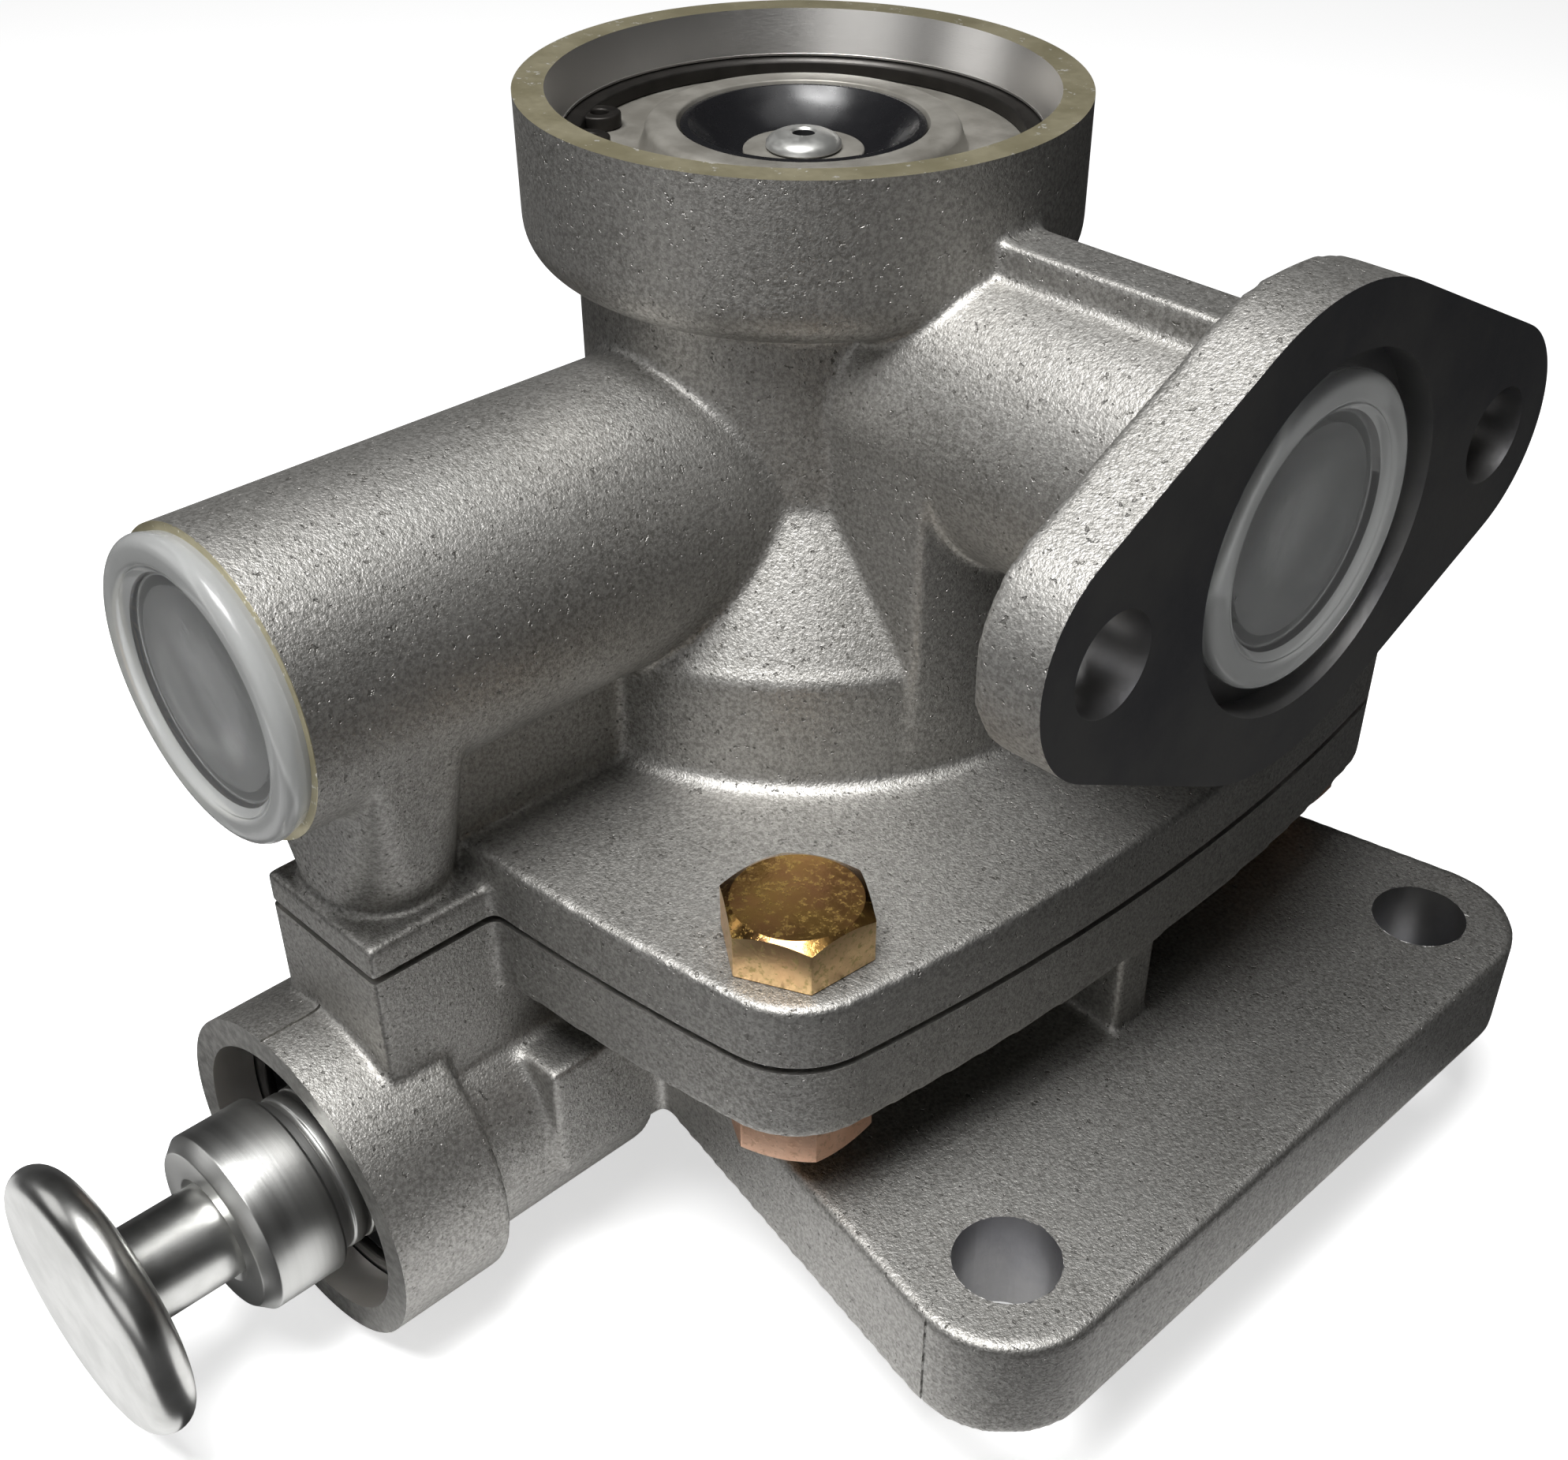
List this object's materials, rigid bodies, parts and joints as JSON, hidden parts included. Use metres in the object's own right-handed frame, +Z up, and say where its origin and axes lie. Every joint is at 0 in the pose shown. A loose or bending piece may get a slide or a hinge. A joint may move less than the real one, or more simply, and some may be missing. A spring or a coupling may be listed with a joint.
{
  "type": "trailer brake control valve",
  "caption": "Relay emergency valve with a push knob release valve, threaded air ports and a drilled mounting plate.",
  "frame": {"origin": "on the axis of the relay valve and exhaust cup, in the plane of the mounting plate's underside", "axes": "+Z up along the axis of the relay valve to the exhaust cup, +X towards the port with the two-hole flange, -Y towards the left port and the release knob"},
  "size_m": [0.1467, 0.1608, 0.1143],
  "materials": {
    "upper_housing": "rough cast",
    "lower_housing": "rough cast",
    "housing_gasket": "matt",
    "flange_bolts": "yellow zinc plated",
    "flange_nuts": "yellow zinc plated",
    "exhaust_guide": "machined",
    "guide_o_ring": "matt",
    "guide_snap_ring": "blackened spring steel",
    "exhaust_flap": "glossy",
    "flap_washer": "turned",
    "flap_stud": "turned",
    "inlet_valve": "turned",
    "inlet_valve_rubber": "matt",
    "inlet_valve_spring": "spring steel",
    "relay_piston": "machined",
    "relay_piston_ring": "matt",
    "partition_disc": "machined",
    "emergency_piston": "machined",
    "emergency_piston_ring": "matt",
    "emergency_spring": "spring steel",
    "check_valve": "matt",
    "check_valve_spring": "spring steel",
    "release_plunger": "turned bright",
    "release_knob": "polished",
    "release_o_ring": "matt",
    "release_bushing": "black",
    "bushing_o_ring": "matt",
    "release_snap_ring": "blackened spring steel",
    "left_port_cap": "translucent polyethylene",
    "right_port_cap": "translucent polyethylene",
    "rear_port_cap": "translucent polyethylene",
    "port_strainer": "pressed mesh"
  },
  "bodies": {
    "body": {"upper_housing": "upper_housing", "lower_housing": "lower_housing", "housing_gasket": "housing_gasket", "flange_bolts": "flange_bolts", "flange_nuts": "flange_nuts", "exhaust_guide": "exhaust_guide", "guide_o_ring": "guide_o_ring", "guide_snap_ring": "guide_snap_ring", "exhaust_flap": "exhaust_flap", "flap_washer": "flap_washer", "flap_stud": "flap_stud", "inlet_valve_spring": "inlet_valve_spring", "partition_disc": "partition_disc", "emergency_spring": "emergency_spring", "check_valve_spring": "check_valve_spring", "release_bushing": "release_bushing", "bushing_o_ring": "bushing_o_ring", "release_snap_ring": "release_snap_ring", "port_strainer": "port_strainer"},
    "release_valve": {"release_plunger": "release_plunger", "release_knob": "release_knob", "release_o_ring": "release_o_ring"},
    "relay_piston": {"relay_piston": "relay_piston", "relay_piston_ring": "relay_piston_ring"},
    "inlet_valve": {"inlet_valve": "inlet_valve", "inlet_valve_rubber": "inlet_valve_rubber"},
    "emergency_piston": {"emergency_piston": "emergency_piston", "emergency_piston_ring": "emergency_piston_ring"},
    "check_valve": {"check_valve": "check_valve"},
    "left_cap": {"left_port_cap": "left_port_cap"},
    "right_cap": {"right_port_cap": "right_port_cap"},
    "rear_cap": {"rear_port_cap": "rear_port_cap"}
  },
  "joints": [
    {"name": "release_push", "type": "slide", "parent": "body", "child": "release_valve", "axis": [0, 1, 0], "range_m": [0, 0.007]},
    {"name": "relay_piston_slide", "type": "slide", "parent": "body", "child": "relay_piston", "axis": [0, 0, 1], "range_m": [0, 0.0055]},
    {"name": "inlet_valve_slide", "type": "slide", "parent": "body", "child": "inlet_valve", "axis": [0, 0, 1], "range_m": [0, 0.0025], "deforming": ["inlet_valve_spring"]},
    {"name": "emergency_piston_slide", "type": "slide", "parent": "body", "child": "emergency_piston", "axis": [0, 0, 1], "range_m": [0, 0.004], "deforming": ["emergency_spring"]},
    {"name": "check_valve_slide", "type": "slide", "parent": "emergency_piston", "child": "check_valve", "axis": [0, 0, 1], "range_m": [0, 0.002], "deforming": ["check_valve_spring"]},
    {"name": "left_cap_pull", "type": "slide", "parent": "body", "child": "left_cap", "axis": [0, -1, 0], "range_m": [0, 0.03]},
    {"name": "right_cap_pull", "type": "slide", "parent": "body", "child": "right_cap", "axis": [1, 0, 0], "range_m": [0, 0.03]},
    {"name": "rear_cap_pull", "type": "slide", "parent": "body", "child": "rear_cap", "axis": [0, 1, 0], "range_m": [0, 0.03]}
  ],
  "couplings": [
    {"joint": "inlet_valve_slide", "follows": "relay_piston_slide", "ratio": 0.4545}
  ]
}
